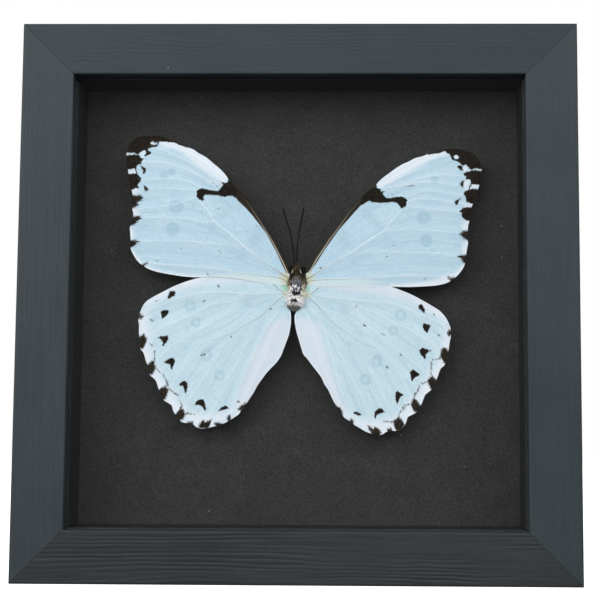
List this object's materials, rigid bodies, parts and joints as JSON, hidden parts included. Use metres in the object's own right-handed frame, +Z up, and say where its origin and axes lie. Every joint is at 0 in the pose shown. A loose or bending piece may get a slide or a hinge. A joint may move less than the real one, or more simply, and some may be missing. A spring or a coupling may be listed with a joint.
{
  "type": "framed butterfly specimen",
  "caption": "Square black wooden shadow box with a spread pale blue butterfly on black board behind glass; stands on its edge or hangs.",
  "frame": {"origin": "bottom centre of the whole part, on the surface that the frame stands on", "axes": "+Z up, the glass faces -Y, +Y points to the wall, +X to the right as seen from the front"},
  "size_m": [0.178, 0.033, 0.178],
  "materials": {
    "frame_paint": "black satin paint over open grain",
    "glass": "clear",
    "foam_board": "matt black",
    "mount_board": "matt black, lightly textured",
    "hardboard": "pressed fibre",
    "steel": "zinc plated",
    "bumper": "matt",
    "forewing": "satin wing scales",
    "hindwing": "satin wing scales",
    "body_hair": "grey and white hair",
    "dark_shell": "dark brown shell",
    "pad": "black foam"
  },
  "bodies": {
    "root": {"rail_top": "frame_paint", "rail_bottom": "frame_paint", "rail_left": "frame_paint", "rail_right": "frame_paint", "glass": "glass", "spacer_top": "foam_board", "spacer_bottom": "foam_board", "spacer_left": "foam_board", "spacer_right": "foam_board", "mount_board": "mount_board", "backing_board": "hardboard", "framers_point_1": "steel", "framers_point_2": "steel", "framers_point_3": "steel", "framers_point_4": "steel", "framers_point_5": "steel", "framers_point_6": "steel", "framers_point_7": "steel", "framers_point_8": "steel", "hanger": "steel", "hanger_nail_left": "steel", "hanger_nail_right": "steel", "bumper_left": "bumper", "bumper_right": "bumper", "forewing_left": "forewing", "forewing_right": "forewing", "hindwing_left": "hindwing", "hindwing_right": "hindwing", "thorax": "body_hair", "head": "dark_shell", "abdomen": "body_hair", "antenna_left": "dark_shell", "antenna_right": "dark_shell", "mounting_pad": "pad"}
  },
  "joints": []
}
